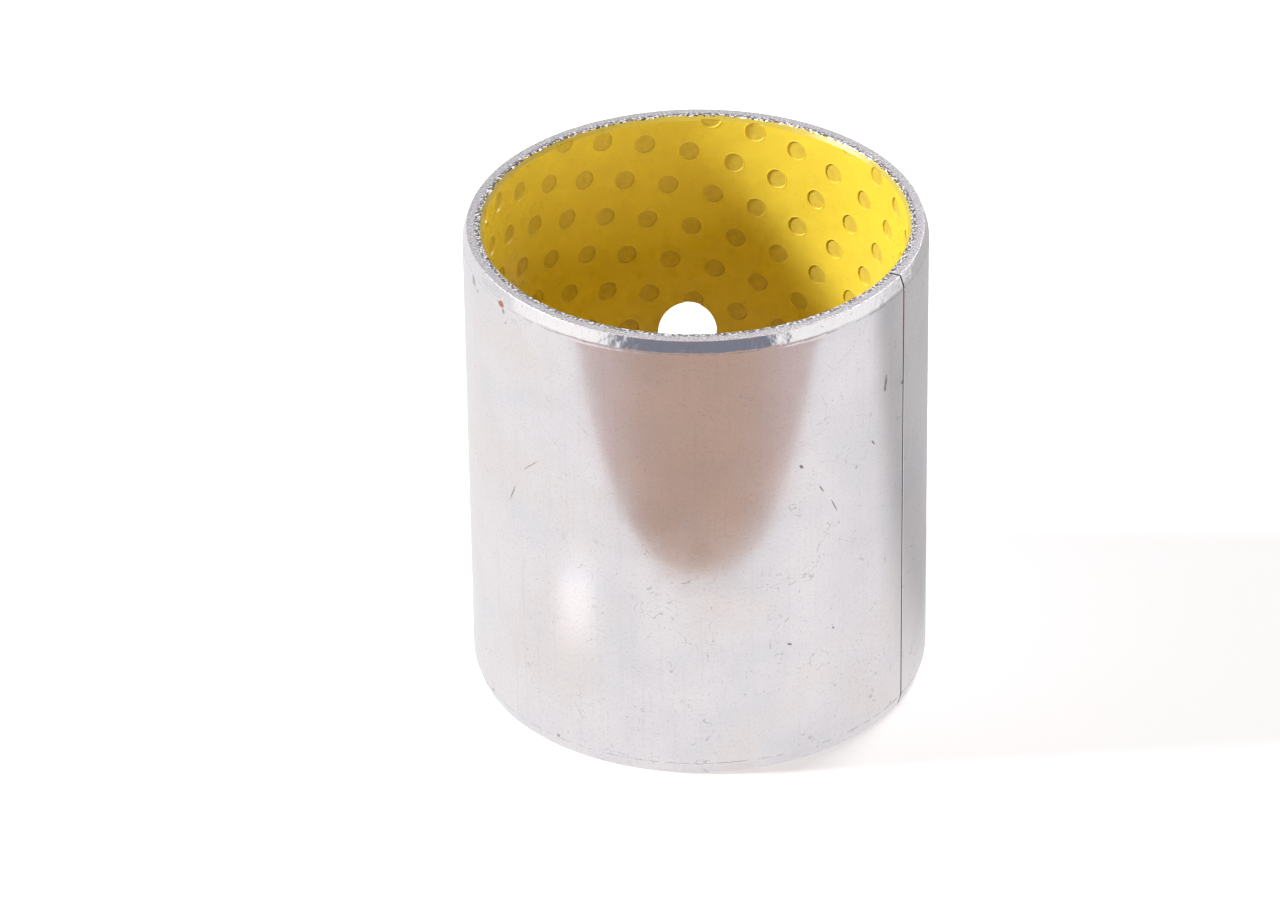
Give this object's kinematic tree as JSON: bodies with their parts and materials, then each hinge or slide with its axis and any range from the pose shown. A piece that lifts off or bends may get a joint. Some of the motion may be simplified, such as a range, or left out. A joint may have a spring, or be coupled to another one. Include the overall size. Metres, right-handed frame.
{
  "type": "split plain-bearing bush",
  "caption": "Rolled split bush with a tinned steel back, a sintered bronze layer, a pocketed acetal lining and an oil hole.",
  "frame": {"origin": "centre of the lower end face, on the axis of the bore", "axes": "+Z along the bore, +Y from the axis towards the oil hole"},
  "size_m": [0.055, 0.055, 0.06],
  "materials": {
    "steel_backing": "tin-plated, lightly scratched",
    "bronze_interlayer": "porous, grainy, tinned on the cut edge",
    "acetal_lining": "smooth, semi-gloss"
  },
  "bodies": {
    "root": {"steel_backing": "steel_backing", "bronze_interlayer": "bronze_interlayer", "acetal_lining": "acetal_lining"}
  },
  "joints": []
}
